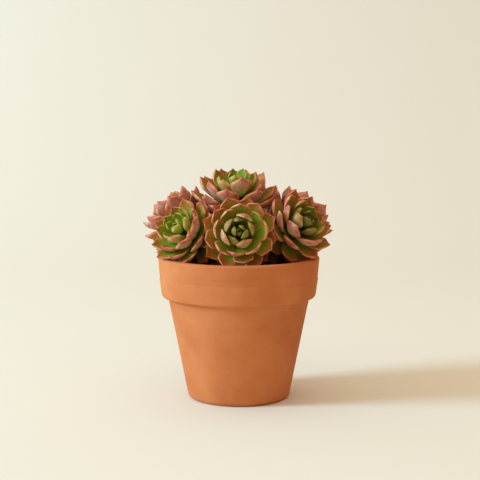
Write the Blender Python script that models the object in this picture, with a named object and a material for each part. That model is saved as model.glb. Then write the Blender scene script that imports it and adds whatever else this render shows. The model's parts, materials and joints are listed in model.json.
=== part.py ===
"""A terracotta pot planted with seven succulent rosettes.

Units are metres, +Z is up, and the origin is on the pot's axis at the surface that it stands on.
Each rosette is a stem with four whorls of fleshy leaves, set on a spiral from the heart outwards.
"""

import math
from dataclasses import dataclass

import bmesh
import bpy
from mathutils import Matrix, Vector
from mathutils.bvhtree import BVHTree

MM = 0.001
CLEARANCE = 0.3 * MM  # between pieces that touch

# Pot: a tapered wall under a deep, slightly tapered rim band
POT_HEIGHT = 97 * MM
RIM_RADIUS = 55 * MM
RIM_INNER_RADIUS = 49.3 * MM
LIP_ROUND = 1.5 * MM
BAND_BOTTOM = 69.4 * MM
BAND_TURNING_LINE = 83.5 * MM
BAND_ROUND = 2.6 * MM
BAND_FOOT_RADIUS = 52.7 * MM
BAND_LINE_RADIUS = 54 * MM
WALL_TOP_RADIUS = 48.3 * MM
BASE_RADIUS = 35.2 * MM
FOOT_ROUND = 3.5 * MM
FLOOR_THICKNESS = 7 * MM
FLOOR_RADIUS = 29.5 * MM
DRAIN_RADIUS = 6.5 * MM
POT_STEPS = 40
SHARP_DEGREES = 30

# Soil
SOIL_EDGE_HEIGHT = 87 * MM
SOIL_MOUND = 2.5 * MM
SOIL_GAP = 0.42 * MM
SOIL_RINGS = (1.0, 0.75, 0.5, 0.25, 0.0)
SOIL_STEPS = 24

# Stems
STEM_RADIUS = 2.1 * MM
STEM_FOOT_RADIUS = 3.0 * MM
STEM_HOLE_SIDES = 12
ROOT_DEPTH = 12 * MM
STEM_NECK = 4 * MM  # how far a stem stands straight up out of the soil before it bends
STEM_POINTS = 9
STEM_PULL = 0.4  # how far a stem keeps each end's direction, as a share of its length

# Rosettes, for one of the typical radius: the others are scaled from it
TYPICAL_RADIUS = 25 * MM
CROWN_LENGTH = 17 * MM
HEART_ABOVE_CROWN = 5 * MM
DIVERGENCE = math.radians(137.5)
LEAVES = 42
WHORLS = (
    ("heart", 0, 5),
    ("inner_leaves", 5, 12),
    ("middle_leaves", 12, 21),
    ("outer_leaves", 21, 31),
    ("lower_leaves", 31, 42),
)
WHORL_HEIGHTS = ((0.82, 1.04), (0.64, 0.82), (0.44, 0.64), (0.22, 0.44), (0.0, 0.22))
SHEATH_INNER = 2.5 * MM
SHEATH_OUTER = 4.2 * MM
SHEATH_STEPS = 8
HEART_CORE = (0.8, 0.45)  # the solid heart's radius at its foot and top, as shares of a sheath's

# How a leaf changes with its number, from 0 in the heart: millimetres, degrees and shares of its length
LEAF_BASE = ((0, 0.9), (4, 1.9), (5, 3.3), (41, 3.3))
LEAF_LENGTH = ((0, 6), (2, 8.5), (5, 12.5), (13, 19), (24, 24.5), (31, 23.5), (41, 20))
LEAF_LEAN = ((0, 3), (4, 15), (5, 20), (9, 25), (13, 34), (20, 47), (24, 55), (31, 74), (41, 100))
LEAF_OPENING = ((0, 0.3), (5, 1), (20, 1), (31, 0), (41, 0))
LEAF_CURL = ((0, 46), (4, 72), (9, 84), (14, 76), (20, 64), (24, 52), (31, 42), (41, 36))
LEAF_WIDTH = ((0, 0.62), (9, 0.68), (14, 0.63), (24, 0.53), (41, 0.56))
LEAF_THICKNESS = ((0, 1.4), (5, 2.2), (13, 2.7), (41, 3.2))
LEAF_CUP = ((0, 0.4), (4, 0.9), (9, 1.2), (14, 1.0), (24, 0.5), (41, 0.3))

# Where a leaf's base lies in its whorl's sheath, measured down from the top, for the first and last leaf
BASE_PLACE = (0.38, 0.52)

# How a crowded leaf may swing in towards its rosette's axis, or out, and how short it may stay
SWINGS = [math.radians(degrees) for degrees in (0, 4, -4, 8, -8, 13, -13, 18, 24)]
SHARES = (1.0, 0.9, 0.8, 0.7, 0.6)

# A leaf's outline, as shares of its length and of half its width, and its three-cornered sections
OUTLINE = ((0.0, 0.42), (0.45, 0.86), (0.62, 0.98), (0.8, 0.94), (1.0, 0.0))
LEAF_STATIONS = (0.0, 0.45, 0.8)
SECTION_CORNERS = 3
RIM_SHARE = 0.25  # how much of the leaf's thickness lies above its midline
CUPPED_FROM = 0.45  # where along the leaf its margins have risen by the whole cup
SLIM_ENDS = 0.75  # the keel's depth at the leaf's ends, as a share of its depth halfway


@dataclass
class Rosette:
    """One rosette.

    The heart and the stem's foot are in millimetres. Facing is the way it turns, in degrees from the
    front towards +X; lift is how far it looks up; phase is the first leaf's place round the heart;
    opening is how much further its inner leaves lean out than a typical one's, in degrees.
    """

    name: str
    heart: tuple
    facing: float
    lift: float
    radius: float
    phase: float
    foot: tuple
    opening: float

    def axis(self):
        """The way that the rosette faces."""
        facing, lift = math.radians(self.facing), math.radians(self.lift)
        level = math.cos(lift)
        return Vector((level * math.sin(facing), -level * math.cos(facing), math.sin(lift)))

    def sideways(self):
        """The level direction across the rosette."""
        return Vector((0, 0, 1)).cross(self.axis()).normalized()

    def scale(self):
        """The rosette's size against a typical one."""
        return self.radius * MM / TYPICAL_RADIUS

    def crown(self, along):
        """The point on the crown at this height above its base."""
        top = Vector(self.heart) * MM - self.axis() * HEART_ABOVE_CROWN * self.scale()
        return top + self.axis() * (along - CROWN_LENGTH * self.scale())


ROSETTES = (
    Rosette("front", (0.5, -46, 119), 0, 16, 26.0, 133.5, (1, -20), 0),
    Rosette("right", (46.5, -20, 124.5), 46, 32, 26.5, 20, (23, -9), 2),
    Rosette("left", (-43, -23, 120.5), -46, 32, 26.0, 140, (-22, -10), 6),
    Rosette("top", (-2.5, -1, 151.2), 0, 74, 31.0, 215, (0, 3), 13),
    Rosette("rear_left", (-51, 19, 130), -112, 42, 26.5, 60, (-23, 11), 6),
    Rosette("rear_right", (49.5, 24, 129), 118, 42, 26.5, 310, (22, 13), 4),
    Rosette("back", (0, 46, 126), 180, 32, 26.0, 100, (0, 25), 4),
)


@dataclass
class Leaf:
    """One leaf: its place on the crown and the curve of its midline."""

    base: Vector
    outward: Vector
    upward: Vector
    length: float
    width: float
    thickness: float
    cup: float
    lean: float
    curl: float

    def point(self, along, across, above):
        """A point of the leaf: along its midline from 0 to 1, across it, and above it on its upper face."""
        angle = self.lean - self.curl * along
        reach = self.length / self.curl * (math.cos(angle) - math.cos(self.lean))
        rise = self.length / self.curl * (math.sin(self.lean) - math.sin(angle))
        normal = self.upward * math.sin(angle) - self.outward * math.cos(angle)
        side = self.upward.cross(self.outward)
        return self.base + self.outward * reach + self.upward * rise + side * across + normal * above


def between(pairs, at):
    """The value at a place on a broken line of (place, value) pairs."""
    for (start, low), (end, high) in zip(pairs, pairs[1:]):
        if at <= end:
            return low + (high - low) * (at - start) / (end - start)
    return pairs[-1][1]


def whorl_heights(rosette, index):
    """Where a whorl's sheath starts and ends on the crown, measured up from the crown's base."""
    unit = CROWN_LENGTH * rosette.scale()
    low, high = (unit * share for share in WHORL_HEIGHTS[index])
    return low, (high - CLEARANCE if index else high)


def spiral_leaf(rosette, number, swing=0.0, share=1.0):
    """A leaf of the spiral: the first is the innermost, and later ones are longer and lean out further."""
    turn = math.radians(rosette.phase) + number * DIVERGENCE
    upward = rosette.axis()
    side = rosette.sideways()
    outward = side * math.cos(turn) + upward.cross(side) * math.sin(turn)
    scale = rosette.scale()
    index = whorl_of(number)
    low, high = whorl_heights(rosette, index)
    _, first, last = WHORLS[index]
    place = BASE_PLACE[0] + (BASE_PLACE[1] - BASE_PLACE[0]) * (number - first) / (last - first)
    height = high + (low - high) * place
    base = rosette.crown(height) + outward * between(LEAF_BASE, number) * MM
    length = between(LEAF_LENGTH, number) * MM * scale
    bend = math.radians(between(LEAF_CURL, number))
    lean = between(LEAF_LEAN, number) + rosette.opening * between(LEAF_OPENING, number)
    middle = math.radians(lean) - swing
    width = length * between(LEAF_WIDTH, number)
    thickness = between(LEAF_THICKNESS, number) * MM * scale
    cup = between(LEAF_CUP, number) * MM * scale
    return Leaf(base, outward, upward, length * share, width * share, thickness, cup, middle + bend / 2, bend)


def leaf_mesh(leaf, extra=0.0):
    """The leaf as points and faces: a flat upper face over a keel, a pointed tip and a flat base.

    Extra widens it all over.
    """
    points = []
    for along in LEAF_STATIONS:
        half = leaf.width / 2 * between(OUTLINE, along) + extra
        full = SLIM_ENDS + (1 - SLIM_ENDS) * math.sin(math.pi * along)
        above = RIM_SHARE * leaf.thickness + leaf.cup * min(1, along / CUPPED_FROM) + extra
        below = (1 - RIM_SHARE) * leaf.thickness * full + extra
        points += [
            leaf.point(along, -half, above),
            leaf.point(along, 0, -below),
            leaf.point(along, half, above),
        ]
    points.append(leaf.point(1 + extra / leaf.length, 0, 0))
    faces = [(2, 1, 0)]
    last = SECTION_CORNERS * (len(LEAF_STATIONS) - 1)
    for ring in range(0, last, SECTION_CORNERS):
        for corner in range(SECTION_CORNERS):
            following = (corner + 1) % SECTION_CORNERS
            above_ring = ring + SECTION_CORNERS
            faces.append((ring + corner, ring + following, above_ring + following, above_ring + corner))
    for corner in range(SECTION_CORNERS):
        faces.append((last + corner, last + (corner + 1) % SECTION_CORNERS, len(points) - 1))
    return points, faces


def inner_radius(height):
    """The pot's inside radius at a height."""
    slope = (RIM_INNER_RADIUS - FLOOR_RADIUS) / (POT_HEIGHT - FLOOR_THICKNESS)
    return FLOOR_RADIUS + slope * (height - FLOOR_THICKNESS)


def arc(centre, radius, start, end, count):
    """Points on an arc in the (radius, height) plane, angles in degrees."""
    angles = [math.radians(start + (end - start) * i / (count - 1)) for i in range(count)]
    return [(centre[0] + radius * math.cos(a), centre[1] + radius * math.sin(a)) for a in angles]


def pot_profile():
    """The wall's section, from the drain hole out along the foot, up the outside, and down the inside."""
    foot = arc((BASE_RADIUS - FOOT_ROUND, FOOT_ROUND), FOOT_ROUND, -90, -8, 4)
    step = (WALL_TOP_RADIUS, BAND_BOTTOM)
    band = arc((BAND_FOOT_RADIUS - BAND_ROUND, BAND_BOTTOM + BAND_ROUND), BAND_ROUND, -90, -8, 3)
    line = (BAND_LINE_RADIUS, BAND_TURNING_LINE)
    lip = arc((RIM_RADIUS - LIP_ROUND, POT_HEIGHT - LIP_ROUND), LIP_ROUND, 0, 90, 3)
    inside = arc((RIM_INNER_RADIUS + LIP_ROUND, POT_HEIGHT - LIP_ROUND), LIP_ROUND, 90, 180, 3)
    floor = [(FLOOR_RADIUS, FLOOR_THICKNESS), (DRAIN_RADIUS, FLOOR_THICKNESS)]
    return [(DRAIN_RADIUS, 0), *foot, step, *band, line, *lip, *inside, *floor]


def turned(profile, steps, closed):
    """A mesh turned about +Z from a section. A section that isn't closed has both its ends on the axis."""
    mesh = bmesh.new()
    ring = [mesh.verts.new((radius, 0, height)) for radius, height in profile]
    edges = [mesh.edges.new(pair) for pair in zip(ring, ring[1:])]
    if closed:
        edges.append(mesh.edges.new((ring[-1], ring[0])))
    bmesh.ops.spin(
        mesh,
        geom=[*ring, *edges],
        cent=(0, 0, 0),
        axis=(0, 0, 1),
        angle=2 * math.pi,
        steps=steps,
        use_merge=True,
    )
    bmesh.ops.remove_doubles(mesh, verts=mesh.verts, dist=0.01 * MM)
    bmesh.ops.recalc_face_normals(mesh, faces=mesh.faces)
    return mesh


def material(name, colour, roughness):
    """A Principled material with one colour."""
    made = bpy.data.materials.new(name)
    made.use_nodes = True
    shader = made.node_tree.nodes["Principled BSDF"]
    shader.inputs["Base Color"].default_value = (*colour, 1)
    shader.inputs["Roughness"].default_value = roughness
    made.diffuse_color = (*colour, 1)
    return made


def add_object(name, mesh, finish):
    """A new object from a bmesh, with its material."""
    data = bpy.data.meshes.new(name)
    mesh.to_mesh(data)
    mesh.free()
    data.materials.append(finish)
    made = bpy.data.objects.new(name, data)
    bpy.context.scene.collection.objects.link(made)
    return made


def hide(helper):
    """Marks an object as a cutter or a guide."""
    helper.hide_render = True
    helper.display_type = "WIRE"


def add_boolean(target, helper, operation, itself=False):
    """A Boolean modifier on the target, with the exact solver."""
    modifier = target.modifiers.new(operation.lower(), "BOOLEAN")
    modifier.operation = operation
    modifier.object = helper
    modifier.solver = "EXACT"
    modifier.use_self = itself


def add_pot(finish):
    """The flower pot: a tapered wall with a deep rim band and a drain hole."""
    pot = add_object("pot", turned(pot_profile(), POT_STEPS, closed=True), finish)
    pot.data.shade_smooth()
    pot.data.set_sharp_from_angle(angle=math.radians(SHARP_DEGREES))
    return pot


def soil_height(radius):
    """The height of the soil's surface at a distance from the pot's axis."""
    return SOIL_EDGE_HEIGHT + SOIL_MOUND * math.cos(math.pi / 2 * radius / inner_radius(SOIL_EDGE_HEIGHT))


def add_soil(finish):
    """The soil that fills the pot, with a socket for each stem."""
    bottom = FLOOR_THICKNESS + CLEARANCE
    edge = inner_radius(SOIL_EDGE_HEIGHT) - SOIL_GAP
    rings = [edge * share for share in SOIL_RINGS]
    profile = [(0, bottom), (inner_radius(bottom) - SOIL_GAP, bottom)]
    profile += [(radius, soil_height(radius)) for radius in rings]
    soil = add_object("soil", turned(profile, SOIL_STEPS, closed=False), finish)
    for rosette in ROSETTES:
        x, y = (value * MM for value in rosette.foot)
        foot = soil_height(math.hypot(x, y)) - ROOT_DEPTH - CLEARANCE
        hole = bmesh.new()
        bmesh.ops.create_cone(
            hole,
            cap_ends=True,
            segments=STEM_HOLE_SIDES,
            radius1=STEM_FOOT_RADIUS + 2 * CLEARANCE,
            radius2=STEM_FOOT_RADIUS + 2 * CLEARANCE,
            depth=2 * ROOT_DEPTH,
            matrix=Matrix.Translation((x, y, foot + ROOT_DEPTH)),
        )
        cutter = add_object(f"{rosette.name}_stem_hole", hole, finish)
        hide(cutter)
        add_boolean(soil, cutter, "DIFFERENCE")
    return soil


def stem_path(rosette):
    """Points and radii along a stem: up out of the soil, then over to the crown and into it."""
    x, y = (value * MM for value in rosette.foot)
    start = Vector((x, y, soil_height(math.hypot(x, y)) - ROOT_DEPTH))
    out = start + Vector((0, 0, ROOT_DEPTH + STEM_NECK))
    crown = rosette.crown(0)
    span = (crown - out).length
    bends = (out, out + Vector((0, 0, STEM_PULL * span)), crown - rosette.axis() * STEM_PULL * span, crown)
    path = [(start, STEM_FOOT_RADIUS)]
    for step in range(STEM_POINTS):
        at = step / (STEM_POINTS - 1)
        shares = ((1 - at) ** 3, 3 * at * (1 - at) ** 2, 3 * at**2 * (1 - at), at**3)
        place = sum((bend * share for bend, share in zip(bends, shares)), Vector())
        path.append((place, STEM_FOOT_RADIUS + (STEM_RADIUS - STEM_FOOT_RADIUS) * at))
    path.append((rosette.crown(whorl_heights(rosette, 0)[0] - CLEARANCE), STEM_RADIUS))
    return path


def add_stem(rosette, finish):
    """A stem, rooted in the soil and running up through its whorls to the heart."""
    path = stem_path(rosette)
    curve = bpy.data.curves.new(f"{rosette.name}_stem", "CURVE")
    curve.dimensions = "3D"
    curve.bevel_depth = 1.0
    curve.bevel_resolution = 2
    curve.use_fill_caps = True
    spline = curve.splines.new("POLY")
    spline.points.add(len(path) - 1)
    for point, (place, radius) in zip(spline.points, path):
        point.co = (*place, 1)
        point.radius = radius
    curve.materials.append(finish)
    stem = bpy.data.objects.new(f"{rosette.name}_stem", curve)
    bpy.context.scene.collection.objects.link(stem)
    return stem


def sheath(rosette, index):
    """The ring of leaf bases round the stem, or the heart's solid core."""
    low, high = whorl_heights(rosette, index)
    if index:
        profile = [
            (SHEATH_INNER, low),
            (SHEATH_OUTER, low),
            (SHEATH_OUTER, high),
            (SHEATH_INNER, high),
        ]
    else:
        foot, top = (SHEATH_OUTER * share for share in HEART_CORE)
        profile = [(0, low), (foot, low), (top, high), (0, high)]
    mesh = turned(profile, SHEATH_STEPS, closed=index > 0)
    upward = rosette.axis()
    side = rosette.sideways()
    frame = Matrix((side, upward.cross(side), upward)).transposed().to_4x4()
    mesh.transform(Matrix.Translation(rosette.crown(0)) @ frame)
    return mesh


def tree_of(points, faces):
    """The faces, sorted by place so that what meets them is found fast."""
    return BVHTree.FromPolygons([tuple(point) for point in points], faces)


def object_tree(shown):
    """The sorted faces of an object as its modifiers leave it."""
    graph = bpy.context.evaluated_depsgraph_get()
    evaluated = shown.evaluated_get(graph)
    mesh = evaluated.to_mesh()
    tree = tree_of([v.co.copy() for v in mesh.vertices], [tuple(p.vertices) for p in mesh.polygons])
    evaluated.to_mesh_clear()
    return tree


def sheath_tree(rosette, index):
    """The sorted faces of a whorl's sheath."""
    mesh = sheath(rosette, index)
    tree = BVHTree.FromBMesh(mesh)
    mesh.free()
    return tree


def whorl_of(number):
    """The whorl that a leaf belongs to."""
    return next(index for index, (_, first, last) in enumerate(WHORLS) if first <= number < last)


def meets(leaf, others):
    """True if the leaf, with the clearance round it, touches one of the other pieces."""
    tree = tree_of(*leaf_mesh(leaf, CLEARANCE))
    return any(tree.overlap(other) for other in others)


def fitted_leaf(rosette, number, others):
    """The leaf as it finds room: it swings first, then stays shorter. None if there is no room for it."""
    for share in SHARES:
        for swing in SWINGS:
            leaf = spiral_leaf(rosette, number, swing, share)
            if not meets(leaf, others):
                return leaf
    return None


def grow_leaves(obstacles):
    """Every leaf by its rosette and whorl, grown from the hearts outwards in all the rosettes at once."""
    grown = {}
    placed = [(tree, None) for tree in obstacles]
    for rosette in ROSETTES:
        placed += [(sheath_tree(rosette, index), (rosette.name, index)) for index in range(len(WHORLS))]
    for number in range(LEAVES):
        for rosette in ROSETTES:
            home = (rosette.name, whorl_of(number))
            leaf = fitted_leaf(rosette, number, [tree for tree, whose in placed if whose != home])
            if leaf:
                grown.setdefault(home, []).append(leaf)
                placed.append((tree_of(*leaf_mesh(leaf)), home))
    return grown


def add_whorl(rosette, index, leaves, finish):
    """One whorl: its leaves, joined where their bases clasp the stem."""
    name = WHORLS[index][0]
    whorl = add_object(f"{rosette.name}_{name}", sheath(rosette, index), finish)
    joined = bmesh.new()
    for leaf in leaves:
        points, faces = leaf_mesh(leaf)
        corners = [joined.verts.new(point) for point in points]
        for face in faces:
            joined.faces.new([corners[corner] for corner in face])
    bmesh.ops.recalc_face_normals(joined, faces=joined.faces)
    blades = add_object(f"{rosette.name}_{name}_blades", joined, finish)
    hide(blades)
    add_boolean(whorl, blades, "UNION", itself=True)
    return whorl


def main():
    """Clears the scene and builds every piece."""
    for old in list(bpy.data.objects):
        bpy.data.objects.remove(old)
    terracotta = material("terracotta", (0.52, 0.19, 0.075), 0.85)
    potting_soil = material("potting_soil", (0.03, 0.02, 0.014), 0.95)
    stem_bark = material("stem_bark", (0.16, 0.12, 0.06), 0.7)
    leaf_green = material("leaf_green", (0.25, 0.24, 0.09), 0.5)
    pot = add_pot(terracotta)
    soil = add_soil(potting_soil)
    stems = [add_stem(rosette, stem_bark) for rosette in ROSETTES]
    grown = grow_leaves([object_tree(piece) for piece in (pot, soil, *stems)])
    for rosette in ROSETTES:
        for index in range(len(WHORLS)):
            add_whorl(rosette, index, grown[(rosette.name, index)], leaf_green)


main()
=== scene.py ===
"""A terracotta pot planted with seven echeveria rosettes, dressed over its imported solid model.

Every size is in metres unless its name or its comment says millimetres, +Z is up, and the pot stands
on the origin.
"""

import json
import logging
import math
import random
from collections.abc import Callable
from dataclasses import dataclass, field
from enum import Enum
from functools import partial

import bpy
from mathutils import Matrix, Vector, noise
from mathutils.kdtree import KDTree

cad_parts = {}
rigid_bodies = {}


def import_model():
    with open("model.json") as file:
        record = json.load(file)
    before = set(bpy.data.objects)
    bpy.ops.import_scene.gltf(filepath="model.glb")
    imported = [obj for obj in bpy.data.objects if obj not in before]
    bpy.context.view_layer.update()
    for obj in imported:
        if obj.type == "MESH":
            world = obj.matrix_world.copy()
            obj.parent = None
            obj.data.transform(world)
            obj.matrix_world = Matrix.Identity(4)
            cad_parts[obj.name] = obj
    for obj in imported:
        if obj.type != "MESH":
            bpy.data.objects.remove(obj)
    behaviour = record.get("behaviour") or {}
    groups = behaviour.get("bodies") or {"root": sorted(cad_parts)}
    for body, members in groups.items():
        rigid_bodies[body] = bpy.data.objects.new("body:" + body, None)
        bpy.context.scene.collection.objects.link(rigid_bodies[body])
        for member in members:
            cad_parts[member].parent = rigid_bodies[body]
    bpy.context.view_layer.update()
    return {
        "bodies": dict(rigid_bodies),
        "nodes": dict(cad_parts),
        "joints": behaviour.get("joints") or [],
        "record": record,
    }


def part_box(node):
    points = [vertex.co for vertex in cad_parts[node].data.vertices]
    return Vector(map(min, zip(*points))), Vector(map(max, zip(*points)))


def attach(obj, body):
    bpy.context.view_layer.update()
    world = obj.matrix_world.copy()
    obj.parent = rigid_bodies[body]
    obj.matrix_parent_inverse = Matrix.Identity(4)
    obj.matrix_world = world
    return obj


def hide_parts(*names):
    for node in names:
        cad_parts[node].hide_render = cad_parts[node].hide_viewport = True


LOG = logging.getLogger("potted_succulent")
MM = 0.001
Profile = list[tuple[float, float]]
Pairs = tuple[tuple[float, float], ...]
Node = bpy.types.Node
AddNode = Callable[..., Node]
Marks = dict[str, bpy.types.NodeSocket]


class Slot(Enum):
    """The finishes that the record names."""

    POT = "terracotta"
    SOIL = "potting_soil"
    STEM = "stem_bark"
    LEAF = "leaf"
    YOUNG_LEAF = "young_leaf"


# ---------------------------------------------------------------- tools


def linear(colour: str) -> tuple[float, float, float, float]:
    """Turns an sRGB colour into linear light.

    Args:
        colour: The colour, as #RRGGBB.

    Returns:
        Its red, green and blue, and full opacity.
    """
    shares = [int(colour[place : place + 2], 16) / 255 for place in (1, 3, 5)]
    light = [share / 12.92 if share <= 0.04045 else ((share + 0.055) / 1.055) ** 2.4 for share in shares]
    return (*light, 1.0)


def between(pairs: Pairs, at: float) -> float:
    """Reads a broken line.

    Args:
        pairs: The line's points in order, as (place, value).
        at: The place to read it at.

    Returns:
        The value there, or the last one past the line's end.
    """
    for (start, low), (end, high) in zip(pairs, pairs[1:]):
        if at <= end:
            return low + (high - low) * (at - start) / (end - start)
    return pairs[-1][1]


def feed(node: bpy.types.Node, inputs: dict) -> None:
    """Sets or links a node's sockets.

    Args:
        node: The node.
        inputs: Its sockets by name or number: a value, or the output or the node that feeds it. A node
            feeds through the first output that it shows.
    """
    for key, value in inputs.items():
        if isinstance(value, bpy.types.Node):
            value = next(output for output in value.outputs if output.enabled)
        if isinstance(value, bpy.types.NodeSocket):
            node.id_data.links.new(value, node.inputs[key])
        else:
            node.inputs[key].default_value = value


def add_node(
    tree: bpy.types.NodeTree,
    kind: str,
    inputs: dict | None = None,
    ramp: tuple[tuple[float, str], ...] = (),
    **settings: object,
) -> bpy.types.Node:
    """Adds one node.

    Args:
        tree: The node tree that it goes in.
        kind: The node's type.
        inputs: Its sockets, as feed takes them.
        ramp: The stops of a colour ramp, as (place, hex colour).
        **settings: The node's own settings.

    Returns:
        The node.
    """
    node = tree.nodes.new(kind)
    for key, value in settings.items():
        setattr(node, key, value)
    feed(node, inputs or {})
    for place, (position, colour) in enumerate(ramp):
        stops = node.color_ramp.elements
        stop = stops[place] if place < len(stops) else stops.new(position)
        stop.position = position
        stop.color = linear(colour)
    return node


def start_material(name: str) -> tuple[bpy.types.Material, bpy.types.NodeTree, bpy.types.Node]:
    """Starts a material.

    Args:
        name: The material's name.

    Returns:
        The material, its node tree and its Principled shader.
    """
    material = bpy.data.materials.new(name)
    material.use_nodes = True
    tree = material.node_tree
    return material, tree, tree.nodes["Principled BSDF"]


def clear_selection() -> None:
    """Leaves object mode with nothing selected."""
    if bpy.context.mode != "OBJECT":
        bpy.ops.object.mode_set(mode="OBJECT")
    bpy.ops.object.select_all(action="DESELECT")


def only(piece: bpy.types.Object) -> None:
    """Selects one piece and nothing else.

    Args:
        piece: The piece, which becomes the active one.
    """
    clear_selection()
    piece.select_set(True)
    bpy.context.view_layer.objects.active = piece


def select_edges(piece: bpy.types.Object, wanted: Callable[[Vector], bool]) -> None:
    """Goes to edit mode with only some of a piece's edges selected.

    Args:
        piece: The active piece.
        wanted: Whether a point is one that the edges run between.
    """
    bpy.ops.object.mode_set(mode="EDIT")
    bpy.ops.mesh.select_mode(type="EDGE")
    bpy.ops.mesh.select_all(action="DESELECT")
    bpy.ops.object.mode_set(mode="OBJECT")
    for edge in piece.data.edges:
        edge.select = all(wanted(piece.data.vertices[index].co) for index in edge.vertices)
    bpy.ops.object.mode_set(mode="EDIT")


def close_up(piece: bpy.types.Object) -> None:
    """Merges doubled points and turns every face outwards.

    Args:
        piece: The piece to close up.
    """
    only(piece)
    bpy.ops.object.mode_set(mode="EDIT")
    bpy.ops.mesh.select_all(action="SELECT")
    bpy.ops.mesh.remove_doubles(threshold=0.002 * MM)
    bpy.ops.mesh.normals_make_consistent(inside=False)
    bpy.ops.object.mode_set(mode="OBJECT")


def subdivide(piece: bpy.types.Object, levels: int) -> None:
    """Rounds a piece with a subdivision surface.

    Args:
        piece: The piece to round.
        levels: How many times each face is divided.
    """
    only(piece)
    modifier = piece.modifiers.new("rounding", "SUBSURF")
    modifier.levels = levels
    modifier.render_levels = levels
    bpy.ops.object.modifier_apply(modifier=modifier.name)
    bpy.ops.object.shade_smooth()


def join(pieces: list[bpy.types.Object], name: str) -> bpy.types.Object:
    """Joins pieces into one object.

    Args:
        pieces: The pieces, of which the first takes up the others.
        name: The new name.

    Returns:
        The joined object.
    """
    clear_selection()
    for piece in pieces:
        piece.select_set(True)
    bpy.context.view_layer.objects.active = pieces[0]
    if len(pieces) > 1:
        bpy.ops.object.join()
    pieces[0].name = name
    pieces[0].data.name = name
    return pieces[0]


def arc(centre: tuple[float, float], radius: float, start: float, end: float, count: int) -> Profile:
    """Points on an arc of a profile.

    Args:
        centre: The arc's centre, as (radius, height).
        radius: The arc's own radius.
        start: The angle that it starts at, in degrees from level outwards.
        end: The angle that it ends at.
        count: How many points it has.

    Returns:
        The points, as (radius, height).
    """
    angles = [math.radians(start + (end - start) * step / (count - 1)) for step in range(count)]
    return [(centre[0] + radius * math.cos(angle), centre[1] + radius * math.sin(angle)) for angle in angles]


def turned(name: str, profile: Profile, segments: int) -> bpy.types.Object:
    """Turns a profile about +Z, ring by ring.

    Args:
        name: The new object's name.
        profile: (radius, height) points. Where it ends on the axis it is closed with a pole, and
            otherwise its last ring is bridged to its first.
        segments: How many sides a ring has.

    Returns:
        The closed body.
    """
    clear_selection()
    poles = profile[0][0] == 0
    rings = profile[1:-1] if poles else profile
    bpy.ops.mesh.primitive_circle_add(vertices=segments, radius=rings[0][0], fill_type="NOTHING")
    piece = bpy.context.object
    bpy.ops.object.mode_set(mode="EDIT")
    bpy.ops.transform.translate(value=(0, 0, rings[0][1]))
    if poles:
        bpy.ops.mesh.extrude_region_move(
            TRANSFORM_OT_translate={"value": (0, 0, profile[0][1] - rings[0][1])}
        )
        bpy.ops.mesh.merge(type="CENTER")
        bpy.ops.object.mode_set(mode="OBJECT")
        for vertex in piece.data.vertices:
            vertex.select = vertex.index < segments
        bpy.ops.object.mode_set(mode="EDIT")
    for (radius, height), (wider, higher) in zip(rings, rings[1:]):
        bpy.ops.mesh.extrude_region_move(TRANSFORM_OT_translate={"value": (0, 0, higher - height)})
        bpy.ops.transform.resize(value=(wider / radius, wider / radius, 1), center_override=(0, 0, higher))
    if poles:
        bpy.ops.mesh.extrude_region_move(
            TRANSFORM_OT_translate={"value": (0, 0, profile[-1][1] - rings[-1][1])}
        )
        bpy.ops.mesh.merge(type="CENTER")
    else:
        bpy.ops.mesh.select_all(action="SELECT")
        bpy.ops.mesh.region_to_loop()
        bpy.ops.mesh.bridge_edge_loops()
    bpy.ops.object.mode_set(mode="OBJECT")
    piece.name = name
    piece.data.name = name
    close_up(piece)
    return piece


def mark_all(mesh: bpy.types.Mesh, marks: dict[str, float]) -> None:
    """Stores the same value of each mark on every point of a mesh."""
    for name, value in marks.items():
        mesh.attributes.new(name, "FLOAT", "POINT").data.foreach_set("value", [value] * len(mesh.vertices))


def dress(piece: bpy.types.Object, material: bpy.types.Material, slot: Slot, *nodes: str) -> None:
    """Finishes a piece.

    Args:
        piece: The piece.
        material: Its material, which takes the place of any other.
        slot: The record's finish that it belongs to; not used.
        *nodes: The solids that it stands for, if any.
    """
    piece.data.materials.clear()
    piece.data.materials.append(material)
    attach(piece, "root")
    if nodes:
        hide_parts(*nodes)
    LOG.info("%s: %d faces", piece.name, len(piece.data.polygons))


# ---------------------------------------------------------------- finishes


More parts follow.
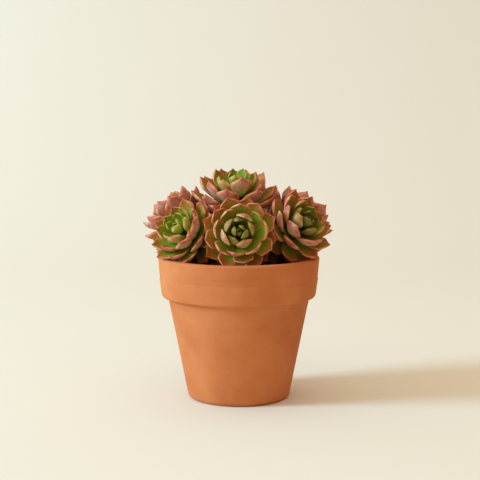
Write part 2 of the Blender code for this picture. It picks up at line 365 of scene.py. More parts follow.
@dataclass(frozen=True)
class Terracotta:
    """Red earthenware, turned on a wheel, sponged smooth and fired without a glaze.

    It is matt and even, with a soft cloudiness from the firing, fine sand grains, and faint rings
    where it was turned.
    """

    clay: str = "#C67846"
    pale_clay: str = "#CE8350"
    dark_clay: str = "#BC6D3C"
    # Colour of the dark patch inside the rim: damp stain and painted shade
    stain_and_shade: str = "#4A2614"
    cloud_mm: float = 34.0
    grain_mm: float = 0.55
    ring_mm: float = 1.6
    # The dark patch inside, partly a damp stain and partly painted shade: the radii and heights that it fades
    # between, and how far its top wanders
    dark_patch_radii_mm: tuple[float, float] = (50.2, 49.6)
    dark_patch_top_mm: tuple[float, float] = (99.5, 96.5)
    dark_patch_foot_mm: tuple[float, float] = (71.0, 73.0)
    dark_patch_wander_mm: float = 6.0

    def make(self) -> bpy.types.Material:
        """Builds the material.

        Returns:
            The material.
        """
        material, tree, shader = start_material("terracotta_unglazed")
        node = partial(add_node, tree)
        place = node("ShaderNodeTexCoord").outputs["Object"]
        clouds = node(
            "ShaderNodeTexNoise",
            {"Vector": place, "Scale": 1 / (self.cloud_mm * MM), "Detail": 5.0, "Roughness": 0.55},
        )
        shade = node(
            "ShaderNodeValToRGB",
            {"Fac": clouds},
            ramp=((0.32, self.dark_clay), (0.5, self.clay), (0.72, self.pale_clay)),
        )
        # The rings run level round the pot, so their pattern is stretched sideways.
        level = node("ShaderNodeMapping", {"Vector": place, "Scale": (0.012, 0.012, 1.0)})
        rings = node("ShaderNodeTexNoise", {"Vector": level, "Scale": 1 / (self.ring_mm * MM), "Detail": 3.0})
        grain = node(
            "ShaderNodeTexNoise",
            {"Vector": place, "Scale": 1 / (self.grain_mm * MM), "Detail": 4.0, "Roughness": 0.65},
        )
        specks = node(
            "ShaderNodeMapRange",
            {"Value": grain, "From Min": 0.3, "From Max": 0.7, "To Min": 0.93, "To Max": 1.06},
        )
        lines = node(
            "ShaderNodeMapRange",
            {"Value": rings, "From Min": 0.3, "From Max": 0.7, "To Min": 0.98, "To Max": 1.02},
        )
        both = node("ShaderNodeMath", {0: specks, 1: lines}, operation="MULTIPLY")
        tinted = node("ShaderNodeVectorMath", {0: shade, "Scale": both}, operation="SCALE")
        # The clay inside the rim is painted dark, partly as a damp stain from the compost and partly as
        # painted shade inside the pot under the leaves.
        flat = node("ShaderNodeVectorMath", {0: place, 1: (1, 1, 0)}, operation="MULTIPLY")
        radius = node("ShaderNodeVectorMath", {0: flat}, operation="LENGTH")
        height = node("ShaderNodeSeparateXYZ", {0: place}).outputs["Z"]
        wander = node(
            "ShaderNodeMath",
            {0: clouds, 1: self.dark_patch_wander_mm * MM, 2: height},
            operation="MULTIPLY_ADD",
        )
        # The patch starts as high as the rim band, where nothing outside is as narrow.
        inner, below, banded = (
            node("ShaderNodeMapRange", {"Value": value, "From Min": start * MM, "From Max": end * MM})
            for value, (start, end) in (
                (radius, self.dark_patch_radii_mm),
                (wander, self.dark_patch_top_mm),
                (height, self.dark_patch_foot_mm),
            )
        )
        damp_and_shade = node("ShaderNodeMath", {0: inner, 1: below}, operation="MULTIPLY")
        damp_and_shade = node("ShaderNodeMath", {0: damp_and_shade, 1: banded}, operation="MULTIPLY")
        stained_and_shaded = node("ShaderNodeMix", {0: damp_and_shade, 6: tinted, 7: linear(self.stain_and_shade)}, data_type="RGBA")
        low = node("ShaderNodeBump", {"Height": rings, "Strength": 0.12, "Distance": 0.12 * MM})
        fine = node(
            "ShaderNodeBump", {"Height": grain, "Strength": 0.35, "Distance": 0.08 * MM, "Normal": low}
        )
        feed(
            shader,
            {
                "Base Color": stained_and_shaded,
                "Normal": fine,
                "Roughness": 0.86,
                "IOR": 1.45,
                "Specular IOR Level": 0.25,
            },
        )
        return material


@dataclass(frozen=True)
class PottingSoil:
    """Peat compost with fine bark, damp from watering: nearly black, crumbly and matt."""

    peat: str = "#120B07"
    bark: str = "#33211A"
    crumb_mm: float = 1.4

    def make(self) -> bpy.types.Material:
        """Builds the material.

        Returns:
            The material.
        """
        material, tree, shader = start_material("peat_compost")
        node = partial(add_node, tree)
        place = node("ShaderNodeTexCoord").outputs["Object"]
        crumbs = node(
            "ShaderNodeTexNoise",
            {"Vector": place, "Scale": 1 / (self.crumb_mm * MM), "Detail": 6.0, "Roughness": 0.7},
        )
        shade = node("ShaderNodeValToRGB", {"Fac": crumbs}, ramp=((0.38, self.peat), (0.72, self.bark)))
        bump = node("ShaderNodeBump", {"Height": crumbs, "Strength": 0.9, "Distance": 0.8 * MM})
        feed(shader, {"Base Color": shade, "Normal": bump, "Roughness": 0.95, "Specular IOR Level": 0.2})
        return material


@dataclass(frozen=True)
class StemBark:
    """The corky stem of an old rosette: dull brown, ringed by the scars of the leaves that it shed."""

    cork: str = "#6B5136"
    pale: str = "#94794F"
    fleck_mm: float = 1.1

    def make(self) -> bpy.types.Material:
        """Builds the material.

        Returns:
            The material.
        """
        material, tree, shader = start_material("corky_stem")
        node = partial(add_node, tree)
        place = node("ShaderNodeTexCoord").outputs["Object"]
        flecks = node(
            "ShaderNodeTexNoise",
            {"Vector": place, "Scale": 1 / (self.fleck_mm * MM), "Detail": 5.0, "Roughness": 0.6},
        )
        shade = node("ShaderNodeValToRGB", {"Fac": flecks}, ramp=((0.35, self.cork), (0.7, self.pale)))
        bump = node("ShaderNodeBump", {"Height": flecks, "Strength": 0.6, "Distance": 0.3 * MM})
        feed(shader, {"Base Color": shade, "Normal": bump, "Roughness": 0.8})
        return material


# Where along its flush a leaf has each of its three colours
FLUSH_STOPS = (0.05, 0.42, 0.85)


@dataclass(frozen=True)
class Foliage:
    """Fleshy echeveria leaf under a thin wax bloom.

    The upper face is green at the foot and flushes to orange-brown towards the tip. The lower face is
    sage at the foot and flushes to rose from the tip and both margins. The margin is a paler bevel.
    Light soaks a little way into the flesh. Each tuple of colours runs from the foot's to the flush's.
    """

    name: str
    upper_young: tuple[str, str, str]
    upper_old: tuple[str, str, str]
    lower_young: tuple[str, str, str]
    lower_old: tuple[str, str, str]
    margin_young: str
    margin_old: str
    mottle_mm: float = 3.5
    cell_mm: float = 0.4
    bloom: str = "#ECE4CE"
    # Maroon of the dried lowest leaves, also standing in as painted shade under the rosette
    spent_and_shade: str = "#5C2E1E"
    tip: str = "#A64A3A"
    flesh_depth_mm: float = 1.5

    def make(self) -> bpy.types.Material:
        """Builds the material.

        Returns:
            The material.
        """
        material, tree, shader = start_material(self.name)
        node = partial(add_node, tree)
        marks = {
            name: node("ShaderNodeAttribute", attribute_name=name).outputs["Fac"]
            for name in ("along", "rim", "under", "age", "tone", "light")
        }
        ageing = node("ShaderNodeMapRange", {"Value": marks["age"], "From Min": 0.13, "From Max": 0.29})
        place = node("ShaderNodeTexCoord").outputs["Object"]
        mottle = node(
            "ShaderNodeTexNoise",
            {"Vector": place, "Scale": 1 / (self.mottle_mm * MM), "Detail": 4.0, "Roughness": 0.6},
        )
        levels = self.flush(node, marks, mottle)
        flesh = self.flesh(node, marks, ageing, levels)
        rimmed = self.edge(node, marks, ageing, mottle, flesh)
        waxed = self.wax(node, marks, ageing, mottle, rimmed)
        shaded = self.shade(node, marks, waxed)
        cells = node("ShaderNodeTexNoise", {"Vector": place, "Scale": 1 / (self.cell_mm * MM), "Detail": 2.0})
        bump = node("ShaderNodeBump", {"Height": cells, "Strength": 0.2, "Distance": 0.06 * MM})
        feed(
            shader,
            {
                "Base Color": shaded,
                "Normal": bump,
                "Roughness": 0.5,
                "IOR": 1.42,
                "Specular IOR Level": 0.3,
                "Subsurface Weight": 0.12,
                "Subsurface Radius": (1.0, 0.6, 0.15),
                "Subsurface Scale": self.flesh_depth_mm * MM,
            },
        )
        return material

    def flush(self, node: AddNode, marks: Marks, mottle: Node) -> tuple[Node, Node]:
        """Works out how far each place has flushed.

        Args:
            node: Adds a node to the material.
            marks: The outputs of what is stored on the leaf.
            mottle: The patches on the leaf.

        Returns:
            The flush of the upper face and of the lower one.
        """
        # What every leaf adds to its own flush: patches, and a leaf's own tone.
        patches = node("ShaderNodeMath", {0: mottle, 1: 0.9, 2: -0.52}, operation="MULTIPLY_ADD")
        own = node("ShaderNodeMath", {0: marks["tone"], 1: 0.35, 2: patches}, operation="MULTIPLY_ADD")
        tipward = node(
            "ShaderNodeMapRange",
            {"Value": marks["along"], "From Min": 0.48, "From Max": 1.0},
            interpolation_type="SMOOTHSTEP",
        )
        # Upper face: the tip flushes more on the older leaves.
        blush = node(
            "ShaderNodeMapRange",
            {"Value": marks["along"], "From Min": 0.45, "From Max": 0.95},
            interpolation_type="SMOOTHSTEP",
        )
        ripe = node("ShaderNodeMath", {0: marks["age"], 1: 0.8, 2: 0.25}, operation="MULTIPLY_ADD")
        upper = node("ShaderNodeMath", {0: blush, 1: ripe, 2: own}, operation="MULTIPLY_ADD")
        near = node(
            "ShaderNodeMapRange",
            {"Value": marks["rim"], "From Min": 0.0, "From Max": 3.8, "To Min": 0.5, "To Max": 0.0},
            interpolation_type="SMOOTHSTEP",
        )
        upper = node("ShaderNodeMath", {0: near, 1: ripe, 2: upper}, operation="MULTIPLY_ADD")
        # Lower face: a broad flush from the margins and the tip.
        broad = node("ShaderNodeMath", {0: tipward, 1: 0.75, 2: near}, operation="MULTIPLY_ADD")
        lower = node("ShaderNodeMath", {0: own, 1: broad}, operation="ADD")
        return upper, lower

    def flesh(self, node: AddNode, marks: Marks, ageing: Node, levels: tuple[Node, Node]) -> Node:
        """Colours the flesh: each face's colours from its foot's to its flush's.

        Args:
            node: Adds a node to the material.
            marks: The outputs of what is stored on the leaf.
            ageing: The share that an old leaf's colours have.
            levels: The flush of the upper face and of the lower one.

        Returns:
            The colour.
        """
        faces = []
        for level, young, old in (
            (levels[0], self.upper_young, self.upper_old),
            (levels[1], self.lower_young, self.lower_old),
        ):
            first, second = (
                node("ShaderNodeValToRGB", {"Fac": level}, ramp=tuple(zip(FLUSH_STOPS, colours)))
                for colours in (young, old)
            )
            faces.append(node("ShaderNodeMix", {0: ageing, 6: first, 7: second}, data_type="RGBA"))
        return node("ShaderNodeMix", {0: marks["under"], 6: faces[0], 7: faces[1]}, data_type="RGBA")

    def edge(self, node: AddNode, marks: Marks, ageing: Node, mottle: Node, flesh: Node) -> Node:
        """Lays the paler bevel along the margin, broken by the patches.

        Args:
            node: Adds a node to the material.
            marks: The outputs of what is stored on the leaf.
            ageing: The share that an old leaf's colours have.
            mottle: The patches on the leaf.
            flesh: The colour inside the margins.

        Returns:
            The colour.
        """
        edge = node(
            "ShaderNodeMix",
            {0: ageing, 6: linear(self.margin_young), 7: linear(self.margin_old)},
            data_type="RGBA",
        )
        bevel = node(
            "ShaderNodeMapRange",
            {"Value": marks["rim"], "From Min": 0.2, "From Max": 2.1, "To Min": 1.0, "To Max": 0.0},
            interpolation_type="SMOOTHSTEP",
        )
        broken = node(
            "ShaderNodeMapRange",
            {"Value": mottle, "From Min": 0.35, "From Max": 0.65, "To Min": 0.25, "To Max": 0.75},
        )
        edging = node("ShaderNodeMath", {0: bevel, 1: broken}, operation="MULTIPLY")
        return node("ShaderNodeMix", {0: edging, 6: flesh, 7: edge}, data_type="RGBA")

    def wax(self, node: AddNode, marks: Marks, ageing: Node, mottle: Node, rimmed: Node) -> Node:
        """Dusts the leaf with wax bloom, most of it under the old leaves.

        Args:
            node: Adds a node to the material.
            marks: The outputs of what is stored on the leaf.
            ageing: The share that an old leaf's colours have.
            mottle: The patches on the leaf.
            rimmed: The colour under the wax.

        Returns:
            The colour.
        """
        waxy = node(
            "ShaderNodeMapRange",
            {"Value": mottle, "From Min": 0.4, "From Max": 0.7, "To Min": 0.0, "To Max": 0.26},
        )
        powdery = node("ShaderNodeMath", {0: marks["under"], 1: ageing, 2: 0.2}, operation="MULTIPLY_ADD")
        waxy = node("ShaderNodeMath", {0: waxy, 1: powdery}, operation="MULTIPLY")
        return node("ShaderNodeMix", {0: waxy, 6: rimmed, 7: linear(self.bloom)}, data_type="RGBA")

    def shade(self, node: AddNode, marks: Marks, waxed: Node) -> Node:
        """Dries off the lowest leaves, paints shade on them, on each leaf's foot and on the shut bud, and
        colours the tip.

        Args:
            node: Adds a node to the material.
            marks: The outputs of what is stored on the leaf.
            waxed: The colour of a leaf in full light.

        Returns:
            The colour.
        """
        # The lowest leaves dry off to maroon, and the same mix darkens them as painted shade under the
        # rosette. The shut bud and a leaf's foot get painted shade too.
        spent_and_shade = node(
            "ShaderNodeMapRange",
            {"Value": marks["age"], "From Min": 0.78, "From Max": 1.0, "To Min": 0.0, "To Max": 0.7},
        )
        dried_and_shaded = node("ShaderNodeMix", {0: spent_and_shade, 6: waxed, 7: linear(self.spent_and_shade)}, data_type="RGBA")
        # Painted shade: the upper face darkens towards the leaf's foot, the lower face a little all over, and
        # the light mark darkens the bud and the flesh between leaves.
        foot = node(
            "ShaderNodeMapRange",
            {"Value": marks["along"], "From Min": 0.0, "From Max": 0.55, "To Min": 0.25, "To Max": 1.0},
        )
        foot = node("ShaderNodeMix", {0: marks["under"], 2: foot, 3: 0.92})
        painted_shade_factor = node("ShaderNodeMath", {0: foot, 1: marks["light"]}, operation="MULTIPLY")
        with_painted_shade = node("ShaderNodeVectorMath", {0: dried_and_shaded, "Scale": painted_shade_factor}, operation="SCALE")
        tip = node(
            "ShaderNodeMapRange",
            {"Value": marks["along"], "From Min": 0.9, "From Max": 1.0, "To Min": 0.0, "To Max": 0.5},
            interpolation_type="SMOOTHSTEP",
        )
        return node("ShaderNodeMix", {0: tip, 6: with_painted_shade, 7: linear(self.tip)}, data_type="RGBA")


@dataclass(frozen=True)
class PaperSweep:
    """Matt cream background paper, rolled out under the pot and up behind it."""

    cream: str = "#E2DED1"
    fibre_mm: float = 3.0

    def make(self) -> bpy.types.Material:
        """Builds the material.

        Returns:
            The material.
        """
        material, tree, shader = start_material("background_paper")
        node = partial(add_node, tree)
        place = node("ShaderNodeTexCoord").outputs["Object"]
        fibres = node(
            "ShaderNodeTexNoise", {"Vector": place, "Scale": 1 / (self.fibre_mm * MM), "Detail": 2.0}
        )
        bump = node("ShaderNodeBump", {"Height": fibres, "Strength": 0.05, "Distance": 0.05 * MM})
        feed(
            shader,
            {
                "Normal": bump,
                "Base Color": linear(self.cream),
                "Roughness": 0.95,
                "Specular IOR Level": 0.1,
            },
        )
        return material


LEAF_FINISH = Foliage(
    "echeveria_leaf",
    upper_young=("#84B00C", "#98AA1C", "#B49C3C"),
    upper_old=("#80A410", "#929222", "#B87030"),
    lower_young=("#88A41C", "#96A624", "#A69C34"),
    lower_old=("#CAD4A0", "#C8947A", "#B65642"),
    margin_young="#C0B45C",
    margin_old="#DC945C",
)
YOUNG_LEAF_FINISH = Foliage(
    "echeveria_heart_leaf",
    upper_young=("#6C900A", "#90A81C", "#B0B03C"),
    upper_old=("#6C900A", "#90A81C", "#B0B03C"),
    lower_young=("#92AA26", "#A4B030", "#B4B044"),
    lower_old=("#92AA26", "#A4B030", "#B4B044"),
    margin_young="#BCB45C",
    margin_old="#BCB45C",
    tip="#9C7438",
)


# ---------------------------------------------------------------- pot and soil


@dataclass
class Pot:
    """The flower pot: a tapered wall under a deep rim band, with a drain hole in its floor."""

    rim_height: float
    rim_radius: float
    rim_inner_radius: float = 49.3 * MM
    lip_round: float = 1.5 * MM
    band_bottom: float = 69.4 * MM
    band_line: float = 83.5 * MM
    band_round: float = 2.6 * MM
    band_foot_radius: float = 52.7 * MM
    band_line_radius: float = 54 * MM
    wall_top_radius: float = 48.3 * MM
    base_radius: float = 35.2 * MM
    foot_round: float = 3.5 * MM
    floor: float = 7 * MM
    floor_radius: float = 29.5 * MM
    drain_radius: float = 6.5 * MM
    wall_steps: int = 6
    crease: float = math.radians(32)
    segments: int = 144

    def inner_radius(self, height: float) -> float:
        """The pot's inside radius at a height."""
        slope = (self.rim_inner_radius - self.floor_radius) / (self.rim_height - self.floor)
        return self.floor_radius + slope * (height - self.floor)

    def profile(self) -> Profile:
        """The wall's section, from the drain hole along the foot, up the outside and down the inside.

        Returns:
            Its points, as (radius, height).
        """
        foot = arc((self.base_radius - self.foot_round, self.foot_round), self.foot_round, -90, -8, 7)
        wall_foot = foot[-1]
        wall_top = (self.wall_top_radius, self.band_bottom)
        wall = [
            tuple(low + (high - low) * step / self.wall_steps for low, high in zip(wall_foot, wall_top))
            for step in range(1, self.wall_steps)
        ]
        fillet = [
            (self.wall_top_radius - 0.05 * MM, self.band_bottom - 0.5 * MM),
            (self.wall_top_radius + 0.35 * MM, self.band_bottom),
        ]
        band = arc(
            (self.band_foot_radius - self.band_round, self.band_bottom + self.band_round),
            self.band_round,
            -90,
            -8,
            6,
        )
        # A shallow turned groove, as millimetres out and up from the band's line
        groove = ((0.12, -1.3), (-0.02, -0.8), (-0.24, 0.0), (-0.02, 0.8), (0.06, 1.3))
        lines = [(self.band_line_radius + out * MM, self.band_line + up * MM) for out, up in groove]
        lip_height = self.rim_height - self.lip_round
        lip = arc((self.rim_radius - self.lip_round, lip_height), self.lip_round, 0, 90, 6)
        inside = arc((self.rim_inner_radius + self.lip_round, lip_height), self.lip_round, 90, 180, 6)
        floor = [(self.floor_radius + 2 * MM, self.floor + 1 * MM), (self.floor_radius, self.floor)]
        hole = [(self.drain_radius, self.floor), (self.drain_radius, 0.0)]
        return [
            *[(self.drain_radius + 1 * MM, 0.0)],
            *foot,
            *wall,
            *fillet,
            *band,
            *lines,
            *lip,
            *inside,
            *floor,
            *hole,
        ]

    def build(self, material: bpy.types.Material) -> None:
        """Turns the pot and dresses it.

        Args:
            material: Its clay.
        """
        pot = turned("clay_pot", self.profile(), self.segments)
        only(pot)
        bpy.ops.object.shade_smooth_by_angle(angle=self.crease)
        dress(pot, material, Slot.POT, "pot")


@dataclass
class Soil:
    """The compost that fills the pot: a lumpy mound with loose crumbs on it."""

    pot: Pot
    edge_height: float = 87 * MM
    mound: float = 2.5 * MM
    gap: float = 0.42 * MM
    floor_gap: float = 0.3 * MM
    lump: float = 0.9 * MM
    lump_width: float = 7 * MM
    # The lumps' sizes, each as (share of the height, how much finer)
    lump_sizes: Pairs = ((1.0, 1.0), (0.5, 2.7), (0.3, 6.1))
    segments: int = 96
    rings: int = 26
    crumbs: int = 620
    crumb_margin: float = 1.5 * MM
    crumb_mm: tuple[float, float] = (0.35, 1.15)
    # A crumb's length and height against its width, and how far it may turn, in radians
    crumb_length: tuple[float, float] = (0.9, 1.8)
    crumb_height: tuple[float, float] = (0.4, 0.9)
    crumb_turn: float = 6.28
    crumb_roughness: float = 0.45

    def height(self, radius: float) -> float:
        """The height of the surface at a distance from the pot's axis."""
        return self.edge_height + self.mound * math.cos(
            math.pi / 2 * radius / self.pot.inner_radius(self.edge_height)
        )

    def surface(self, x: float, y: float) -> float:
        """The height of the surface with its lumps.

        Args:
            x: The place across.
            y: The place from front to back.

        Returns:
            The height there.
        """
        radius = math.hypot(x, y)
        place = Vector((x, y, 0)) / self.lump_width
        lumps = sum(share * noise.noise(place * finer) for share, finer in self.lump_sizes)
        return self.height(radius) + self.lump * lumps

    def build(self, material: bpy.types.Material, draw: random.Random) -> None:
        """Builds the mound and the crumbs.

        Args:
            material: The compost's finish.
            draw: Where the crumbs' places come from.
        """
        bottom = self.pot.floor + self.floor_gap
        edge = self.pot.inner_radius(self.edge_height) - self.gap
        foot = self.pot.inner_radius(bottom) - self.gap
        sides = [(0.0, bottom), (foot, bottom)]
        top = [(edge * (1 - ring / self.rings), self.height(0)) for ring in range(self.rings)]
        mound = turned("compost", [*sides, *top, (0.0, self.height(0))], self.segments)
        for vertex in mound.data.vertices:
            if vertex.co.z > self.edge_height:
                vertex.co.z = self.surface(vertex.co.x, vertex.co.y)
        only(mound)
        bpy.ops.object.shade_smooth()
        dress(mound, material, Slot.SOIL, "soil")
        dress(self.scatter(edge, draw), material, Slot.SOIL)

    def scatter(self, edge: float, draw: random.Random) -> bpy.types.Object:
        """Scatters loose crumbs of bark and peat, each a copy of one rough chip.

        Args:
            edge: The radius of the mound.
            draw: Where their places, sizes and turns come from.

        Returns:
            The crumbs, as one object.
        """
        clear_selection()
        bpy.ops.mesh.primitive_ico_sphere_add(subdivisions=1, radius=1.0)
        chip = bpy.context.object
        for vertex in chip.data.vertices:
            vertex.co *= 1 + self.crumb_roughness * noise.noise(vertex.co * 2.3)
        copies = []
        for _ in range(self.crumbs):
            reach = (edge - self.crumb_margin) * math.sqrt(draw.random())
            turn = draw.uniform(0, 2 * math.pi)
            x, y = reach * math.cos(turn), reach * math.sin(turn)
            size = draw.uniform(*self.crumb_mm) * MM
            place = Matrix.Translation((x, y, self.surface(x, y) + 0.2 * size))
            spun, tipped = (Matrix.Rotation(draw.uniform(0, self.crumb_turn), 4, axis) for axis in "ZX")
            length, height = (size * draw.uniform(*span) for span in (self.crumb_length, self.crumb_height))
            shape = Matrix.Diagonal((length, size, height, 1))
            copy = bpy.data.objects.new("chip", chip.data.copy())
            copy.data.transform(place @ (spun @ tipped) @ shape)
            bpy.context.scene.collection.objects.link(copy)
            copies.append(copy)
        bpy.data.objects.remove(chip)
        return join(copies, "compost_crumbs")


# ---------------------------------------------------------------- rosettes

DIVERGENCE = math.radians(137.5)
CLEARANCE = 0.3 * MM
CROWN_LENGTH = 17 * MM
HEART_ABOVE_CROWN = 5 * MM
TYPICAL_RADIUS_MM = 25.0
BASE_PLACE = (0.38, 0.52)

# How a leaf changes with its number, from 0 in the heart: millimetres, degrees and shares of its length
LEAF_BASE: Pairs = ((0, 0.9), (4, 1.9), (5, 3.3), (41, 3.3))
LEAF_LENGTH: Pairs = ((0, 6), (2, 8.5), (5, 12.5), (13, 19), (24, 24.5), (31, 23.5), (41, 20))
LEAF_LEAN: Pairs = ((0, 3), (4, 15), (5, 20), (9, 25), (13, 34), (20, 47), (24, 55), (31, 74), (41, 100))
LEAF_OPENING: Pairs = ((0, 0.3), (5, 1), (20, 1), (31, 0), (41, 0))
LEAF_CURL: Pairs = ((0, 46), (4, 72), (9, 84), (14, 76), (20, 64), (24, 52), (31, 42), (41, 36))
LEAF_WIDTH: Pairs = ((0, 0.62), (9, 0.68), (14, 0.63), (24, 0.53), (41, 0.56))
LEAF_THICKNESS: Pairs = ((0, 1.4), (5, 2.2), (13, 2.7), (41, 3.2))
LEAF_CUP: Pairs = ((0, 0.4), (4, 0.9), (9, 1.2), (14, 1.0), (24, 0.5), (41, 0.3))
CUPPED_FROM = 0.45
BUD_LEAVES = (-3, -2, -1)

# How far a leaf's tip tucks in over the heart, in millimetres, and the share of the leaf where that starts
TIP_TUCK: Pairs = ((0, 0.4), (4, 1.6), (9, 2.4), (13, 1.4), (20, 0.4), (41, 0.0))
TUCKED_FROM = 0.5

# The last share of a leaf, where its cup ends and its tip may flick up
TIP_SHARE = 0.2
OLDEST_LEAF = 41

# What the leaf finish reads on the flesh between the leaves: green, unflushed and darkened with painted shade
SHEATH_MARKS = {"along": 0.0, "rim": 9.0, "under": 0.0, "age": 0.3, "tone": 0.0, "light": 0.4}

# The ways in which a crowded leaf may have found room in the solid model
SWINGS = [math.radians(degrees) for degrees in (0, 4, -4, 8, -8, 13, -13, 18, 24)]
SHARES = (1.0, 0.9, 0.8, 0.7, 0.6)
SOLID_OUTLINE: Pairs = ((0.0, 0.42), (0.45, 0.86), (0.62, 0.98), (0.8, 0.94), (1.0, 0.0))
MATCH = 0.04 * MM
ENOUGH_CORNERS = 4


@dataclass(frozen=True)
class Whorl:
    """One ring of leaves: its name, its leaves' numbers and its height on the crown, in shares."""

    name: str
    first: int
    last: int
    low: float
    high: float


WHORLS = (
    Whorl("heart", 0, 5, 0.82, 1.04),
    Whorl("inner_leaves", 5, 12, 0.64, 0.82),
    Whorl("middle_leaves", 12, 21, 0.44, 0.64),
    Whorl("outer_leaves", 21, 31, 0.22, 0.44),
    Whorl("lower_leaves", 31, 42, 0.0, 0.22),
)


@dataclass
class Leaf:
    """One leaf: its place on the crown and the curve of its midline."""

    base: Vector
    outward: Vector
    upward: Vector
    length: float
    width: float
    thickness: float
    cup: float
    lean: float
    curl: float
    number: int

    def point(self, along: float, across: float, above: float) -> Vector:
        """A point of the leaf.

        Args:
            along: How far along its midline, from 0 at the foot to 1 at the tip.
            across: The distance to one side of the midline.
            above: The distance above it, towards the leaf's upper face.

        Returns:
            The point, in the world.
        """
        angle = self.lean - self.curl * along
        reach = self.length / self.curl * (math.cos(angle) - math.cos(self.lean))
        rise = self.length / self.curl * (math.sin(self.lean) - math.sin(angle))
        normal = self.upward * math.sin(angle) - self.outward * math.cos(angle)
        side = self.upward.cross(self.outward)
        return self.base + self.outward * reach + self.upward * rise + side * across + normal * above

    def corners(self) -> list[Vector]:
        """The places that show whether the solid model holds this leaf.

        Returns:
            The corners that the leaf has there.
        """
        found = [self.point(1, 0, 0)]
        for along in (0.45, 0.8):
            half = self.width / 2 * between(SOLID_OUTLINE, along)
            full = 0.75 + 0.25 * math.sin(math.pi * along)
            above = 0.25 * self.thickness + self.cup * min(1, along / CUPPED_FROM)
            found += [
                self.point(along, -half, above),
                self.point(along, half, above),
                self.point(along, 0, -0.75 * self.thickness * full),
            ]
        return found


@dataclass
class Rosette:
    """One rosette, as the solid model sets it.

    The heart, the radius and the stem's foot are in millimetres. Facing is the way it turns, in
    degrees from the front towards +X; lift is how far it looks up; phase is the first leaf's place
    round the heart; opening is how much further its inner leaves lean out than a typical one's, in degrees;
    flush is how much redder it has turned in the sun; tuck is how far its young tips close over the
    heart; bud is the light painted on its heart, from a shut one in painted shade at 0 to an open one at 1.
    """

    name: str
    heart: tuple[float, float, float]
    facing: float
    lift: float
    radius: float
    phase: float
    foot: tuple[float, float]
    opening: float
    flush: float
    tuck: float
    bud: float

    def axis(self) -> Vector:
        """The way that the rosette faces.

        Returns:
            The direction, of length 1.
        """
        facing, lift = math.radians(self.facing), math.radians(self.lift)
        level = math.cos(lift)
        return Vector((level * math.sin(facing), -level * math.cos(facing), math.sin(lift)))

    def sideways(self) -> Vector:
        """The level direction across the rosette."""
        return Vector((0, 0, 1)).cross(self.axis()).normalized()

    def scale(self) -> float:
        """The rosette's size against a typical one."""
        return self.radius / TYPICAL_RADIUS_MM

    def crown(self, along: float) -> Vector:
        """The point on the crown at this height above its base."""
        top = Vector(self.heart) * MM - self.axis() * HEART_ABOVE_CROWN * self.scale()
        return top + self.axis() * (along - CROWN_LENGTH * self.scale())

    def heights(self, whorl: Whorl) -> tuple[float, float]:
        """Where a whorl sits on the crown.

        Args:
            whorl: The whorl.

        Returns:
            The distances from the crown's base to its start and its end.
        """
        unit = CROWN_LENGTH * self.scale()
        high = unit * whorl.high
        return unit * whorl.low, high - CLEARANCE if whorl.first else high

    def light(self, number: int) -> float:
        """How much light is painted on a leaf, from the bud's to a whole share on the open leaves; less means
        more painted shade.
        """
        return between(((-3, 0.7 * self.bud), (4, 0.25 + 0.75 * self.bud), (10, 1)), number)

    def leaf(self, whorl: Whorl, number: int, swing: float, share: float) -> Leaf:
        """Places one leaf of the spiral.

        Args:
            whorl: The whorl that it is in.
            number: Its number, from the heart outwards.
            swing: How far it is swung in towards the heart.
            share: The share of its size that it is kept to.

        Returns:
            The leaf.
        """
        turn = math.radians(self.phase) + number * DIVERGENCE
        upward = self.axis()
        side = self.sideways()
        outward = side * math.cos(turn) + upward.cross(side) * math.sin(turn)
        low, high = self.heights(whorl)
        start, end = BASE_PLACE
        place = start + (end - start) * (number - whorl.first) / (whorl.last - whorl.first)
        base = self.crown(high + (low - high) * place) + outward * between(LEAF_BASE, number) * MM
        length = between(LEAF_LENGTH, number) * MM * self.scale()
        bend = math.radians(between(LEAF_CURL, number))
        lean = between(LEAF_LEAN, number) + self.opening * between(LEAF_OPENING, number)
        middle = math.radians(lean) - swing
        return Leaf(
            base,
            outward,
            upward,
            length * share,
            length * between(LEAF_WIDTH, number) * share,
            between(LEAF_THICKNESS, number) * MM * self.scale(),
            between(LEAF_CUP, number) * MM * self.scale(),
            middle + bend / 2,
            bend,
            number,
        )

    def leaves(self, whorl: Whorl, solid: bpy.types.Object) -> list[Leaf]:
        """Finds a whorl's leaves as the solid model holds them.

        Args:
            whorl: The whorl.
            solid: Its solid.

        Returns:
            The leaves that it finds. One that the solid left out for want of room isn't found, nor is
            one of which its neighbours cover all but two or three corners.
        """
        tree = KDTree(len(solid.data.vertices))
        for vertex in solid.data.vertices:
            tree.insert(vertex.co, vertex.index)
        tree.balance()
        found = []
        for number in range(whorl.first, whorl.last):
            tried = [self.leaf(whorl, number, swing, share) for share in SHARES for swing in SWINGS]
            scores = [sum(tree.find(corner)[2] < MATCH for corner in leaf.corners()) for leaf in tried]
            score = max(scores)
            best = tried[scores.index(score)]
            if score >= ENOUGH_CORNERS:
                found.append(best)
            else:
                LOG.warning("%s leaf %d isn't found in the solid model", self.name, number)
        return found


